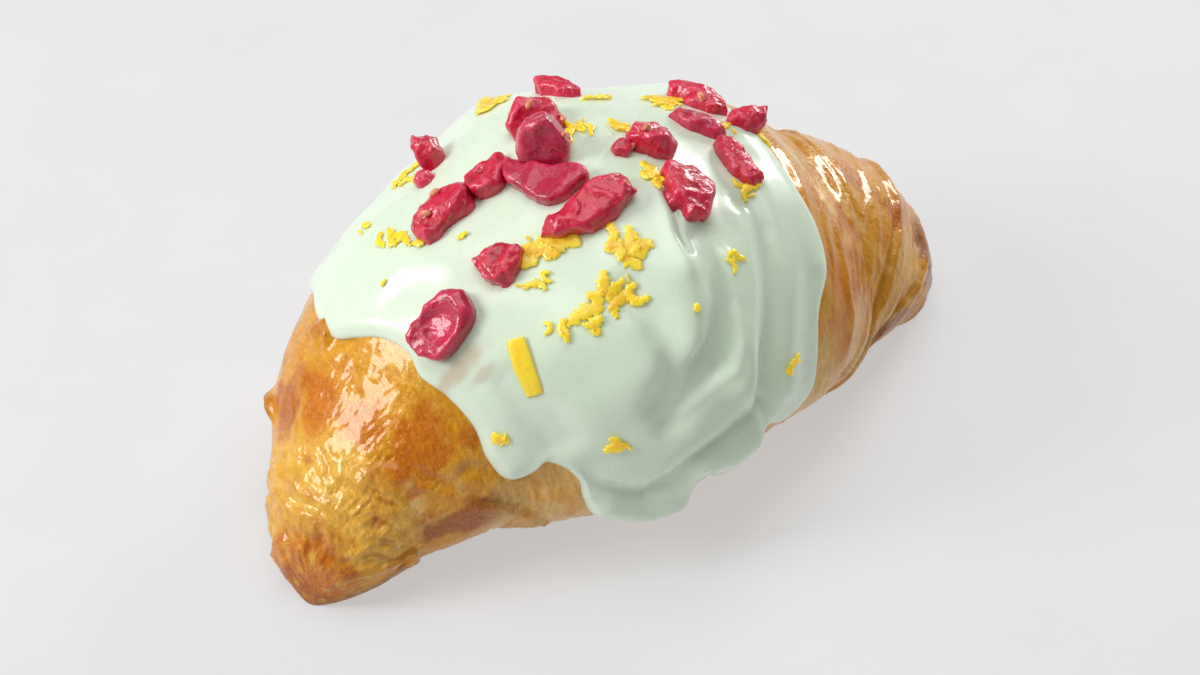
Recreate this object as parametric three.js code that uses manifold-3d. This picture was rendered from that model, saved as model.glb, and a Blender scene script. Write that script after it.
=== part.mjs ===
// A glazed croissant, about 152 mm from tip to tip: the baked croissant, a poured coat of pale icing that
// runs down both sides in drips, crumpled pieces of freeze-dried raspberry, and shreds of lemon zest.
//
// Millimetres, +Z up. The origin is on the ground under the middle, +X points to the right-hand tip, and
// both tips curl towards -Y, the front. A place on the crust is given by how far along it is, from -1 at
// the left tip to 1 at the right one, and by an angle round it: 0 is the back, 90 the top, 180 the front
// and 270 beneath.

import * as THREE from "three";
import { mergeVertices } from "three/addons/utils/BufferGeometryUtils.js";
import Module from "manifold-3d";

const wasm = await Module();
wasm.setup();

// ---- The baked croissant ----

const HALF_SPAN = 72.6; // along X, from the middle to where along is 1
const CURL_LEFT = 11.7; // how far each tip comes forward
const CURL_RIGHT = 9.4;
const CURL_POWER = 3.2;
const LEFT_END = -1.04;
const RIGHT_END = 1.015;
const MIDDLE_ASPECT = 0.79; // a section's height over its width, which grows towards the tips
const LEFT_ASPECT = 0.88;
const RIGHT_ASPECT = 0.98;
const MIDDLE_SEAT = 0.84; // a section's centre height over its half height: under 1 leaves a flat base
const LEFT_SEAT = 0.88;
const RIGHT_SEAT = 0.81;
const CRUST_RINGS = 54;
const CRUST_SIDES = 36;

// The rolled dough is a nest of barrels, each ending in a shoulder that shows as a wrap. The ends are places
// along the croissant, at its back, on top, in front and beneath.
const WRAPS = [
  { radius: 18.3, squareness: 7, left: [1.045, 1.045, 1.045, 1.045], right: [1.02, 1.02, 1.02, 1.02] },
  { radius: 30.4, squareness: 3, left: [1.01, 0.98, 0.92, 0.93], right: [0.98, 0.98, 1.02, 1.02] },
  { radius: 40.0, squareness: 3, left: [0.93, 0.83, 0.69, 0.74], right: [0.75, 0.74, 0.79, 0.74] },
  { radius: 40.9, squareness: 3, left: [0.6, 0.52, 0.55, 0.56], right: [0.48, 0.45, 0.34, 0.44] },
  { radius: 43.5, squareness: 3, left: [0.43, 0.42, 0.44, 0.47], right: [0.3, 0.3, 0.09, 0.22] },
];
const CRUST_BLEND = 1; // how softly one wrap runs into the next

// ---- The icing ----

const GAP = 0.35; // left between pieces that touch
const ICING_THICKNESS = 2.5;
const ICING_BLEND = 2.5; // it fills the creases between wraps
const ICING_EDGE = 2.6; // the width over which its edge rounds off
const ICING_UNDERSIDE = -1; // before the crust is cut out of it
const ICING_LEAST = 1; // where a crease is deepest
const ICING_SPOKES = 144;
const ICING_RINGS = 11; // between its middle and its rounded edge
const ICING_MIDDLE = [-0.12, 95];
const ICING_REACH = [40, 75]; // from the middle to the outline, along and round the crust, in mm
const INNER_REACH = [22, 7]; // from the middle to the innermost ring
const MM_PER_DEGREE = 0.75; // round the crust

// Its outline, as [along, angle] places: up the left side from the back, down the front and its drips, then
// up the right side and along the back.
const ICING_OUTLINE = [
  [-0.58, 18], [-0.622, 34], [-0.668, 45], [-0.695, 58], [-0.68, 70], [-0.66, 82], [-0.655, 95],
  [-0.672, 104], [-0.658, 118], [-0.645, 136], [-0.647, 153], [-0.615, 167], [-0.575, 167], [-0.54, 164],
  [-0.496, 169], [-0.455, 179], [-0.443, 189], [-0.4, 203], [-0.33, 209], [-0.26, 207], [-0.195, 209],
  [-0.171, 205], [-0.15, 194], [-0.11, 191], [-0.07, 198], [-0.01, 196], [0.03, 186], [0.08, 185],
  [0.15, 189], [0.21, 189], [0.265, 184], [0.292, 171], [0.335, 156], [0.42, 144], [0.448, 133],
  [0.455, 117], [0.462, 100], [0.457, 82], [0.46, 62], [0.43, 40], [0.36, 22], [0.33, 2], [0.28, -6],
  [0.22, 0], [0.15, 14], [0.06, 10], [0, -4], [-0.07, -11], [-0.14, -6], [-0.2, 9], [-0.28, 13],
  [-0.36, 4], [-0.43, -3], [-0.5, 3],
];

// Long swellings and creases in its surface, as paths of [along, angle] places.
const ICING_FOLDS = [
  { height: 1.6, width: 8, path: [[-0.37, 128], [-0.31, 137], [-0.29, 145]] },
  { height: -1.5, width: 3.2,
    path: [[-0.19, 127], [-0.166, 134], [-0.16, 142], [-0.175, 149], [-0.235, 156]] },
  { height: 1.2, width: 6, path: [[-0.03, 127], [-0.06, 136], [-0.1, 143]] },
  { height: -2.0, width: 3.4,
    path: [[0.055, 122], [0.045, 130], [0.02, 139], [-0.03, 147], [-0.09, 153]] },
  { height: -1.7, width: 3.2, path: [[-0.09, 153], [-0.15, 158], [-0.21, 163]] },
  { height: 1.3, width: 3.8, path: [[0.215, 120], [0.16, 134], [0.11, 145], [0.05, 154], [0, 162]] },
  { height: -1.4, width: 3,
    path: [[0.25, 118], [0.24, 125], [0.2, 136], [0.157, 146], [0.107, 157], [0.07, 166]] },
  { height: 1.1, width: 4,
    path: [[0.34, 112], [0.33, 121], [0.29, 133], [0.235, 147], [0.187, 158], [0.15, 172]] },
  { height: -1.2, width: 3.4,
    path: [[-0.55, 128], [-0.537, 134], [-0.52, 140], [-0.5, 147], [-0.49, 156]] },
  { height: -0.9, width: 3.4,
    path: [[-0.44, 172], [-0.416, 179], [-0.345, 186], [-0.285, 190], [-0.244, 187]] },
  { height: -0.9, width: 3.4,
    path: [[-0.244, 187], [-0.17, 180], [-0.09, 177], [-0.01, 174], [0.047, 173]] },
  { height: 1.4, width: 3.6, path: [[-0.4, 194], [-0.33, 201], [-0.26, 203], [-0.2, 202]] },
  { height: 1.0, width: 3, path: [[-0.13, 184], [-0.05, 187], [0.01, 184], [0.06, 181]] },
  { height: -0.9, width: 3.2, path: [[-0.58, 80], [-0.537, 89], [-0.487, 95], [-0.44, 102]] },
];

// ---- The toppings ----

// at is a place on the icing. The outline goes round the piece in millimetres, with the first number towards
// its far end and the second across it. tilt raises the far end, and dish hollows the top.
const RASPBERRIES = [
  { at: [-0.285, 52], height: 4, tilt: 75, dish: 0.1,
    outline: [[0, 1.5], [4, 1.2], [5.5, 0.5], [3, -1], [2.5, -3], [0, -2.5], [-2, -1.5], [-4, -0.5],
      [-5, 1.5], [-4.5, 3], [-2.5, 2.5]] },
  { at: [-0.338, 56], height: 3, tilt: 0, dish: 0,
    outline: [[0, 2], [1.5, 1], [1.5, -1], [0, -2], [-1.5, -1], [-1.5, 1]] },
  { at: [-0.393, 76], height: 6, tilt: 0, dish: 0.1,
    outline: [[-3, 6], [1, 5], [4, 1.5], [4.5, -1], [3.5, -4.5], [1.5, -6], [-0.5, -5.5], [-2, -3],
      [-3.5, 0], [-5.5, 2.5], [-4.5, 4.5]] },
  { at: [-0.262, 77], height: 5.5, tilt: 0, dish: 0.2,
    outline: [[-1.5, 4], [0.5, 4], [3, 1], [4.5, -2.5], [2.5, -4.5], [0, -4], [-3, -2.5],
      [-3.5, 0.5], [-3, 2.5]] },
  { at: [-0.18, 90], height: 4.5, tilt: 0, dish: 0.35,
    outline: [[3, 7.5], [6, 7], [6, 4.5], [3.5, 1], [2.5, -2], [2, -5.5], [0.5, -7.5], [-1.5, -6.5],
      [-4, -2.5], [-4.5, -0.5], [-3.5, 2], [-0.5, 4.5], [1, 6.5]] },
  { at: [-0.14, 84], height: 5.5, tilt: 66, dish: 0.3,
    outline: [[-1, 4.5], [1.5, 4], [4, 3], [6, 1], [6.5, -1.5], [5, -3.5], [1, -5], [-1, -4.5],
      [-2.5, -3.5], [-5, -3.5], [-6.5, -2], [-5, 0.5], [-3, 3.5]] },
  { at: [-0.085, 73], height: 6, tilt: 50, dish: 0.15,
    outline: [[-1, 5], [1.5, 4.5], [4, 2.5], [4.5, -0.5], [3.5, -3], [1, -4.5], [-0.5, -5.5],
      [-3, -4], [-4.5, 0.5], [-3, 4]] },
  { at: [0.06, 60], height: 4.5, tilt: 10, dish: 0.2,
    outline: [[3, 4.5], [3.5, 3], [3, 0.5], [1, -1.5], [-1.5, -4], [-3, -4], [-3, -2], [-2, 0.5],
      [0, 3.5]] },
  { at: [-0.155, 103.5], height: 6, tilt: 0, dish: 0.1,
    outline: [[-4.5, 8], [-1.5, 7], [0.5, 4], [2.5, 1.5], [5, -1.5], [6, -3.5], [5.5, -6],
      [4.5, -7.5], [2, -7.5], [1, -5.5], [-1.5, -4.5], [-4.5, -0.5], [-4.5, 4], [-5.5, 7]] },
  { at: [-0.4, 100.5], height: 5.5, tilt: 0, dish: 0.1,
    outline: [[1.5, 5], [2.5, 3], [3.5, -0.5], [3, -3], [1.5, -4.5], [0, -4], [-2, -3], [-4, -1],
      [-2.5, 1.5], [-0.5, 3]] },
  { at: [-0.579, 101], height: 4.5, tilt: 0, dish: 0.5,
    outline: [[-0.5, 6.5], [1.5, 5], [3.5, 2.5], [5.5, -1.5], [5, -4.5], [3, -5.5], [1, -6],
      [-2, -4.5], [-4, -1.5], [-5.5, 1], [-5, 3], [-3, 5.5]] },
  { at: [0.1, 93.5], height: 6.5, tilt: 0, dish: 0.1,
    outline: [[-1.5, 4.5], [1.5, 4], [3, 2], [3.5, 0], [3, -3], [0.5, -4.5], [-2, -4], [-3.5, -1.5],
      [-3, 2]] },
  { at: [0.022, 93], height: 3, tilt: 0, dish: 0,
    outline: [[0, 2], [1.5, 1], [1.5, -1], [0, -2], [-1.5, -1], [-1.5, 1]] },
  { at: [0.095, 110], height: 5.5, tilt: 0, dish: 0.05,
    outline: [[3.5, 5], [5.5, 2.5], [6, -2], [4.5, -3.5], [1, -4.5], [-2.5, -3.5], [-5.5, -2.5],
      [-6, 0], [-3.5, 2.5], [0, 4.5]] },
  { at: [0.363, 76], height: 5.5, tilt: 12, dish: 0.1,
    outline: [[2.5, 6], [4, 4.5], [3.5, 1.5], [1.5, -1], [-0.5, -5], [-2.5, -6], [-4, -5.5],
      [-4, -2], [-2.5, 1], [-0.5, 4.5]] },
  { at: [0.29, 88], height: 4.5, tilt: 0, dish: 0.1,
    outline: [[2.5, 5.5], [2.5, 3.5], [2, -1.5], [-0.5, -5], [-2.5, -5.5], [-3, -3], [-2, 1.5],
      [0.5, 5.5]] },
  { at: [0.303, 105], height: 5, tilt: 0, dish: 0.1,
    outline: [[5, 4.5], [5.5, 3], [3.5, 0.5], [1, -2], [-1.5, -3.5], [-3.5, -4], [-5, -3], [-4, -1],
      [-2, 1.5], [1.5, 3.5]] },
  { at: [0.43, 90], height: 4.5, tilt: 40, dish: 0.1,
    outline: [[0, 4], [2.5, 2], [3.5, 0], [4.5, -3.5], [0.5, -3], [-3, -1.5], [-3.5, 1], [-2, 3.5]] },
];
const RASPBERRY_HEADING = -55; // turns a far end from along the croissant towards its front
const RASPBERRY_DETAIL = 3;
const RASPBERRY_CRUMPLE = 0.11; // share of the radius
const RASPBERRY_SINK = 0.25; // share of the height that is pressed into the icing

// A shred of zest, with size as length, width and height and bow as the sideways bend of its middle.
const ZEST = [
  { at: [-0.077, 48], size: [11, 4, 1.8], heading: -25, bow: 0.6 },
  { at: [-0.335, 42], size: [8, 3.5, 1.6], heading: -40, bow: 0.8 },
  { at: [-0.503, 64], size: [7.5, 3, 1.6], heading: 95, bow: 0.7 },
  { at: [-0.489, 47], size: [3.6, 2.2, 1.4], heading: 50, bow: 0.2 },
  { at: [-0.482, 76], size: [3.6, 2.4, 1.4], heading: 30, bow: 0.3 },
  { at: [-0.411, 85.5], size: [2.6, 1.8, 1.3], heading: 0, bow: 0.2 },
  { at: [-0.308, 104], size: [8.5, 7, 2], heading: 60, bow: 0.8 },
  { at: [-0.365, 111.5], size: [5.5, 2.2, 1.5], heading: 20, bow: 0.5 },
  { at: [-0.139, 115.5], size: [10, 4.5, 1.9], heading: 25, bow: -1.2 },
  { at: [-0.221, 123], size: [10.5, 4, 1.9], heading: 15, bow: 1.4 },
  { at: [-0.308, 128], size: [4.6, 3, 1.6], heading: 0, bow: 0.3 },
  { at: [-0.386, 125], size: [5, 2.4, 1.5], heading: -20, bow: 0.3 },
  { at: [-0.501, 128.5], size: [11, 3.8, 1.9], heading: 108, bow: 0.3 },
  { at: [-0.368, 162.5], size: [5, 2.8, 1.5], heading: -20, bow: 0.3 },
  { at: [-0.617, 145], size: [4, 3, 1.4], heading: 40, bow: 0.2 },
  { at: [-0.07, 136.5], size: [2.2, 1.8, 1.2], heading: 0, bow: 0.1 },
  { at: [0.109, 130], size: [5, 1.7, 1.3], heading: 25, bow: 0.2 },
  { at: [0.173, 162.5], size: [5.5, 1.9, 1.4], heading: 115, bow: 0.6 },
  { at: [0.065, 85.5], size: [6, 2.8, 1.7], heading: 40, bow: 0.8 },
  { at: [0.04, 102], size: [6.5, 3.6, 1.7], heading: 85, bow: 0.6 },
  { at: [0.262, 112.5], size: [7, 1.9, 1.4], heading: 80, bow: 0.5 },
  { at: [0.29, 72], size: [11, 3.6, 1.9], heading: 20, bow: -1.2 },
  { at: [0.46, 97], size: [5, 2.4, 1.5], heading: 60, bow: 0.5 },
  { at: [0.365, 92], size: [5, 2.4, 1.5], heading: -30, bow: 0.4 },
  { at: [0.113, 67], size: [10, 1.7, 1.4], heading: 25, bow: 0.8 },
  { at: [-0.015, 82], size: [8, 2.2, 1.5], heading: 85, bow: 0.8 },
  { at: [-0.581, 73], size: [2, 1.6, 1.1], heading: 0, bow: 0.1 },
];
const ZEST_DETAIL = 2;
const ZEST_CRUMPLE = 0.2;
const ZEST_SINK = 0.35;

// ---- Form of the crust ----

function mix(a, b, share) {
  return a + (b - a) * share;
}

// A value that is given at the back, on top, in front and beneath, at an angle between them.
function round(values, angle) {
  const back = Math.max(Math.cos(angle), 0) ** 2;
  const top = Math.max(Math.sin(angle), 0) ** 2;
  const front = Math.max(-Math.cos(angle), 0) ** 2;
  const beneath = Math.max(-Math.sin(angle), 0) ** 2;
  return values[0] * back + values[1] * top + values[2] * front + values[3] * beneath;
}

// Distance of the crust from the spine, as a smooth union of the wraps.
function crustRadius(along, angle, blend) {
  let sum = 0;
  for (const wrap of WRAPS) {
    const end = round(along < 0 ? wrap.left : wrap.right, angle);
    const inside = Math.max(1 - Math.abs(along / end) ** wrap.squareness, 0);
    sum += Math.exp((wrap.radius * Math.sqrt(inside)) / blend);
  }
  return blend * (Math.log(sum) - 0.4);
}

function centreHeight(along) {
  const samples = 8;
  let mean = 0;
  for (let i = 0; i < samples; i++) {
    mean += crustRadius(along, (i * 2 * Math.PI) / samples, CRUST_BLEND) / samples;
  }
  const seat = mix(MIDDLE_SEAT, along < 0 ? LEFT_SEAT : RIGHT_SEAT, along ** 2);
  return mean * aspect(along) * seat;
}

function aspect(along) {
  return mix(MIDDLE_ASPECT, along < 0 ? LEFT_ASPECT : RIGHT_ASPECT, along ** 2);
}

// The point at a distance from the spine, no lower than floor.
function pointAt(along, angle, distance, floor) {
  const curl = along < 0 ? CURL_LEFT : CURL_RIGHT;
  const slope = (-curl * CURL_POWER * Math.abs(along) ** (CURL_POWER - 1) * Math.sign(along)) / HALF_SPAN;
  const length = Math.hypot(1, slope);
  const sideways = distance * Math.cos(angle);
  return new THREE.Vector3(
    HALF_SPAN * along - (slope / length) * sideways,
    -curl * Math.abs(along) ** CURL_POWER + sideways / length,
    Math.max(centreHeight(along) + distance * aspect(along) * Math.sin(angle), floor),
  );
}

// ---- Solids ----

function solidOf(geometry) {
  const bare = new THREE.BufferGeometry();
  bare.setAttribute("position", geometry.getAttribute("position"));
  bare.setIndex(geometry.index);
  const merged = mergeVertices(bare, 1e-4);
  return new wasm.Manifold(
    new wasm.Mesh({
      numProp: 3,
      vertProperties: new Float32Array(merged.getAttribute("position").array),
      triVerts: new Uint32Array(merged.index.array),
    }),
  );
}

function geometryOf(solid) {
  const mesh = solid.getMesh();
  const geometry = new THREE.BufferGeometry();
  geometry.setAttribute("position", new THREE.BufferAttribute(new Float32Array(mesh.vertProperties), 3));
  geometry.setIndex(new THREE.BufferAttribute(new Uint32Array(mesh.triVerts), 1));
  geometry.computeVertexNormals();
  return geometry;
}

// A closed skin over rows of points that each go once round, with a single point before the first row and
// after the last.
function skinOver(first, rows, last) {
  const sides = rows[0].length;
  const points = [first, ...rows.flat(), last];
  const lastIndex = points.length - 1;
  const index = [];
  for (let side = 0; side < sides; side++) {
    const next = (side + 1) % sides;
    index.push(0, 1 + next, 1 + side);
    for (let row = 0; row < rows.length - 1; row++) {
      const a = 1 + row * sides;
      const b = a + sides;
      index.push(a + side, a + next, b + next, a + side, b + next, b + side);
    }
    const end = lastIndex - sides;
    index.push(end + side, end + next, lastIndex);
  }
  const geometry = new THREE.BufferGeometry().setFromPoints(points);
  geometry.setIndex(index);
  return solidOf(geometry);
}

// The croissant, or the same form grown all over by a gap.
function crust(grow) {
  const rows = [];
  for (let ring = 0; ring <= CRUST_RINGS; ring++) {
    const even = (2 * ring) / CRUST_RINGS - 1;
    const spread = mix(even, Math.sin((even * Math.PI) / 2), 0.45); // closer rings towards the tips
    const along = spread < 0 ? -spread * LEFT_END : spread * RIGHT_END;
    const row = [];
    for (let side = 0; side < CRUST_SIDES; side++) {
      const angle = (side * 2 * Math.PI) / CRUST_SIDES;
      row.push(pointAt(along, angle, crustRadius(along, angle, CRUST_BLEND) + grow, -grow));
    }
    rows.push(row);
  }
  const leftTip = pointAt(LEFT_END, 0, 0, -grow);
  const rightTip = pointAt(RIGHT_END, 0, 0, -grow);
  leftTip.x -= 0.5 + grow;
  rightTip.x += 0.5 + grow;
  return skinOver(leftTip, rows, rightTip);
}

// How far a place is from a path on the crust, in millimetres.
function distanceToPath(along, degrees, path) {
  const here = new THREE.Vector3(along * HALF_SPAN, degrees * MM_PER_DEGREE, 0);
  const nearest = new THREE.Vector3();
  let least = Infinity;
  for (let i = 1; i < path.length; i++) {
    const [from, to] = [path[i - 1], path[i]].map(
      ([a, d]) => new THREE.Vector3(a * HALF_SPAN, d * MM_PER_DEGREE, 0),
    );
    new THREE.Line3(from, to).closestPointToPoint(here, true, nearest);
    least = Math.min(least, nearest.distanceTo(here));
  }
  return least;
}

// A point of the icing's outer face, inset millimetres in from its edge.
function icingPoint(along, degrees, inset, grow) {
  const edge = 1 - Math.min(inset / ICING_EDGE, 1);
  let thickness = ICING_THICKNESS;
  for (const fold of ICING_FOLDS) {
    thickness += fold.height * Math.exp(-((distanceToPath(along, degrees, fold.path) / fold.width) ** 2));
  }
  const angle = THREE.MathUtils.degToRad(degrees);
  const rounding = Math.sqrt(1 - edge ** 2);
  const least = crustRadius(along, angle, CRUST_BLEND) + ICING_LEAST * rounding;
  const distance = Math.max(crustRadius(along, angle, ICING_BLEND) + thickness * rounding, least);
  return pointAt(along, angle, distance + grow, -Infinity);
}

// A point of the face that is cut away with the crust.
function undersidePoint(along, degrees) {
  const angle = THREE.MathUtils.degToRad(degrees);
  return pointAt(along, angle, crustRadius(along, angle, CRUST_BLEND) + ICING_UNDERSIDE, -Infinity);
}

// The icing before the crust is cut out of it: rings that spread from its middle to its outline, a rounded
// edge, and an underside.
function icingSlab(grow) {
  const flat = ([along, degrees]) => new THREE.Vector3(along * HALF_SPAN, degrees * MM_PER_DEGREE, 0);
  const place = (spot) => [spot.x / HALF_SPAN, spot.y / MM_PER_DEGREE];
  const middle = flat(ICING_MIDDLE);
  const outline = new THREE.CatmullRomCurve3(ICING_OUTLINE.map(flat), true);
  const spokes = outline.getSpacedPoints(ICING_SPOKES).slice(1).reverse().map((end) => {
    const from = end.clone().sub(middle);
    const turn = Math.atan2(from.y / ICING_REACH[1], from.x / ICING_REACH[0]);
    const inner = new THREE.Vector3(INNER_REACH[0] * Math.cos(turn), INNER_REACH[1] * Math.sin(turn), 0);
    return new THREE.Line3(inner.add(middle), end);
  });
  const spot = new THREE.Vector3();
  const rows = [
    spokes.map((spoke) => icingPoint(...place(middle.clone().lerp(spoke.start, 0.5)), Infinity, grow)),
  ];
  for (let ring = 0; ring < ICING_RINGS; ring++) {
    rows.push(
      spokes.map((spoke) => {
        const share = ((1 - ICING_EDGE / spoke.distance()) * ring) / ICING_RINGS;
        return icingPoint(...place(spoke.at(share, spot)), Infinity, grow);
      }),
    );
  }
  for (const share of [1, 0.7, 0.4, 0.12, 0]) {
    const inset = share * ICING_EDGE;
    rows.push(
      spokes.map((spoke) => {
        const along = 1 - inset / spoke.distance();
        return icingPoint(...place(spoke.at(along, spot)), inset, grow);
      }),
    );
  }
  for (const share of [1, 0.66, 0.33, 0]) {
    rows.push(spokes.map((spoke) => undersidePoint(...place(spoke.at(share, spot)))));
  }
  return skinOver(icingPoint(...ICING_MIDDLE, Infinity, grow), rows, undersidePoint(...ICING_MIDDLE));
}

// ---- Toppings ----

// Repeatable numbers from 0 to 1.
function seededNumbers(seed) {
  let state = seed * 7919 + 17;
  return () => {
    state = (state * 16807) % 2147483647;
    return state / 2147483647;
  };
}

// A crumpled unit ball: a few slow waves through it, at random slants.
function crumpledBall(detail, crumple, seed) {
  const next = seededNumbers(seed);
  const waves = Array.from({ length: 5 }, (_, i) => ({
    along: new THREE.Vector3(next() - 0.5, next() - 0.5, next() - 0.5).setLength(2.2 + i * 0.9),
    phase: next() * 2 * Math.PI,
    height: crumple / (1 + i * 0.35),
  }));
  const ball = new THREE.IcosahedronGeometry(1, detail);
  ball.deleteAttribute("normal");
  ball.deleteAttribute("uv");
  const geometry = mergeVertices(ball, 1e-4);
  const position = geometry.getAttribute("position");
  const point = new THREE.Vector3();
  for (let i = 0; i < position.count; i++) {
    point.fromBufferAttribute(position, i);
    let radius = 1;
    for (const wave of waves) {
      radius += wave.height * Math.sin(point.dot(wave.along) + wave.phase);
    }
    point.multiplyScalar(radius);
    position.setXYZ(i, point.x, point.y, point.z);
  }
  return geometry;
}

// Where a topping stands: the point on the icing and the axes of its length, width and height. heading turns
// its length from along the croissant towards its front, and tilt raises it.
function seatOf({ at, heading, tilt = 0 }) {
  const [along, degrees] = at;
  const step = 0.01;
  const here = icingPoint(along, degrees, Infinity, 0);
  const ahead = icingPoint(along + step, degrees, Infinity, 0).sub(here).normalize();
  const down = icingPoint(along, degrees + step * 100, Infinity, 0).sub(here).normalize();
  const out = new THREE.Vector3().crossVectors(down, ahead).normalize();
  const length = ahead.applyAxisAngle(out, -THREE.MathUtils.degToRad(heading));
  const width = new THREE.Vector3().crossVectors(out, length).normalize();
  length.crossVectors(width, out).normalize();
  const raise = THREE.MathUtils.degToRad(-tilt);
  const axes = [length, width, out.clone()].map((axis) => axis.applyAxisAngle(width.clone(), raise));
  return { here, out, axes };
}

// Sets a shaped ball on the icing, grown on every side, and cuts away what is there already.
function settle(geometry, spec, sink, grow, taken) {
  const { here, out, axes } = seatOf(spec);
  geometry.center();
  geometry.computeBoundingBox();
  const size = geometry.boundingBox.getSize(new THREE.Vector3());
  const stands = Math.sin(THREE.MathUtils.degToRad(spec.tilt ?? 0));
  const rise = mix(size.z, size.x, stands) * (0.5 - sink);
  geometry.scale(1 + (2 * grow) / size.x, 1 + (2 * grow) / size.y, 1 + (2 * grow) / size.z);
  geometry.applyMatrix4(new THREE.Matrix4().makeBasis(...axes));
  geometry.translate(...here.clone().addScaledVector(out, rise).toArray());
  let solid = solidOf(geometry);
  for (const other of taken) {
    solid = solid.subtract(other);
  }
  const pieces = solid.decompose().sort((a, b) => b.volume() - a.volume());
  return { solid: pieces[0], here };
}

// How far an outline's corners are from its middle in a direction, straight from corner to corner.
function outlineRadius(outline, direction) {
  const ray = new THREE.Vector2(Math.cos(direction), Math.sin(direction));
  let radius = 0;
  outline.forEach(([x, y], i) => {
    const [nextX, nextY] = outline[(i + 1) % outline.length];
    const side = new THREE.Vector2(nextX - x, nextY - y);
    const crossing = ray.cross(side);
    const reach = (x * side.y - y * side.x) / crossing;
    const share = (x * ray.y - y * ray.x) / crossing;
    if (reach > radius && share >= 0 && share <= 1) {
      radius = reach;
    }
  });
  return radius;
}

function raspberry(spec, seed) {
  const geometry = crumpledBall(RASPBERRY_DETAIL, RASPBERRY_CRUMPLE, seed);
  const position = geometry.getAttribute("position");
  for (let i = 0; i < position.count; i++) {
    const x = position.getX(i);
    const y = position.getY(i);
    const z = position.getZ(i);
    const flat = Math.hypot(x, y);
    const share = Math.sin((Math.min(flat, 1) * Math.PI) / 2); // fuller towards the outline
    const radius = flat > 0 ? (outlineRadius(spec.outline, Math.atan2(y, x)) * share) / flat : 0;
    const hollow = z > 0 ? spec.dish * Math.max(1 - (share / 0.85) ** 2, 0) : 0;
    position.setXYZ(i, x * radius, y * radius, (z - hollow) * 0.5 * spec.height);
  }
  return geometry;
}

function zest(spec, seed) {
  const geometry = crumpledBall(ZEST_DETAIL, ZEST_CRUMPLE, seed);
  const position = geometry.getAttribute("position");
  const bow = (2 * spec.bow) / spec.size[1];
  for (let i = 0; i < position.count; i++) {
    const x = position.getX(i);
    position.setY(i, position.getY(i) + bow * (x ** 2 - 0.5));
  }
  geometry.computeBoundingBox();
  const size = geometry.boundingBox.getSize(new THREE.Vector3());
  geometry.scale(...spec.size.map((side, axis) => side / size.getComponent(axis)));
  return geometry;
}

// ---- The assembled croissant ----

const croissant = new THREE.Group();

function add(name, solid, material, origin = new THREE.Vector3()) {
  const geometry = geometryOf(solid);
  geometry.translate(-origin.x, -origin.y, -origin.z);
  const mesh = new THREE.Mesh(geometry, material);
  mesh.name = name;
  mesh.position.copy(origin);
  croissant.add(mesh);
}

const dough = new THREE.MeshStandardMaterial({ color: "#d99b4e", roughness: 0.42, metalness: 0 });
const icing = new THREE.MeshStandardMaterial({ color: "#e3efe0", roughness: 0.28, metalness: 0 });
const fruit = new THREE.MeshStandardMaterial({ color: "#b8264c", roughness: 0.5, metalness: 0 });
const peel = new THREE.MeshStandardMaterial({ color: "#ecc61e", roughness: 0.35, metalness: 0 });

add("croissant", crust(0), dough);
add("glaze", icingSlab(0).subtract(crust(GAP)), icing);

const bed = icingSlab(GAP).add(crust(GAP));
const taken = [bed];

function addToppings(name, specs, shape, sink, material, firstSeed) {
  specs.forEach((spec, i) => {
    const seed = firstSeed + i;
    const { solid, here } = settle(shape(spec, seed), spec, sink, 0, taken);
    add(`${name}_${String(i + 1).padStart(2, "0")}`, solid, material, here);
    taken.push(settle(shape(spec, seed), spec, sink, GAP, []).solid); // the others keep clear of it
  });
}

const raspberries = RASPBERRIES.map((spec) => ({ ...spec, heading: RASPBERRY_HEADING }));
addToppings("raspberry", raspberries, raspberry, RASPBERRY_SINK, fruit, 1);
addToppings("zest", ZEST, zest, ZEST_SINK, peel, 101);

const box = new THREE.Box3().setFromObject(croissant);
const centre = box.getCenter(new THREE.Vector3());
croissant.position.set(-centre.x, -centre.y, -box.min.z);

export default croissant;
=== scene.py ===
"""Looks of a glazed croissant: the baked crust, the icing, the raspberry pieces and the zest.

The frame gives the place and size of every piece. The crust and the icing repeat the formula of the solids in
millimetres, on finer grids. The raspberry pieces start from the solids' own meshes, and the zest is laid anew
over each solid's place. A place on the crust is [along, degrees]: along is -1 at the left tip and 1 at the
right one, and the degrees go round it, with 0 at the back, 90 on top, 180 in front and 270 beneath.
"""

import math

import bpy
import numpy as np
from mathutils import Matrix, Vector
from mathutils.bvhtree import BVHTree


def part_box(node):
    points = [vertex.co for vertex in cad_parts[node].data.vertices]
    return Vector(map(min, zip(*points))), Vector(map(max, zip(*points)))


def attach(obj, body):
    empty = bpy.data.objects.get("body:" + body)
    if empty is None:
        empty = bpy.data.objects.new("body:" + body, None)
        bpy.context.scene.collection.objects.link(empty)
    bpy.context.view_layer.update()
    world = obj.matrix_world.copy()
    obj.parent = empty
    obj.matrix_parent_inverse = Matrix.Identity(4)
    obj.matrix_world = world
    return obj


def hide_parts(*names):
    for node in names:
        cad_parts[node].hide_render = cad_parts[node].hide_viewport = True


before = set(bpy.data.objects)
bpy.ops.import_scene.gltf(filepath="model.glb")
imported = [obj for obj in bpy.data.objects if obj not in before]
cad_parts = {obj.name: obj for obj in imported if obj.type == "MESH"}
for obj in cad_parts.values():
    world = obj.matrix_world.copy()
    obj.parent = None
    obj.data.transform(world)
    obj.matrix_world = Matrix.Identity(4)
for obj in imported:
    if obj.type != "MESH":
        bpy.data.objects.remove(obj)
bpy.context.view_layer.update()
MM = 0.001
BODY = "root"


def box_of(node):
    """The low and the high corner of a solid's box, in millimetres."""
    return [np.array(corner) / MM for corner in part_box(node)]



# ---- The solids' formula, in millimetres ----

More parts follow.
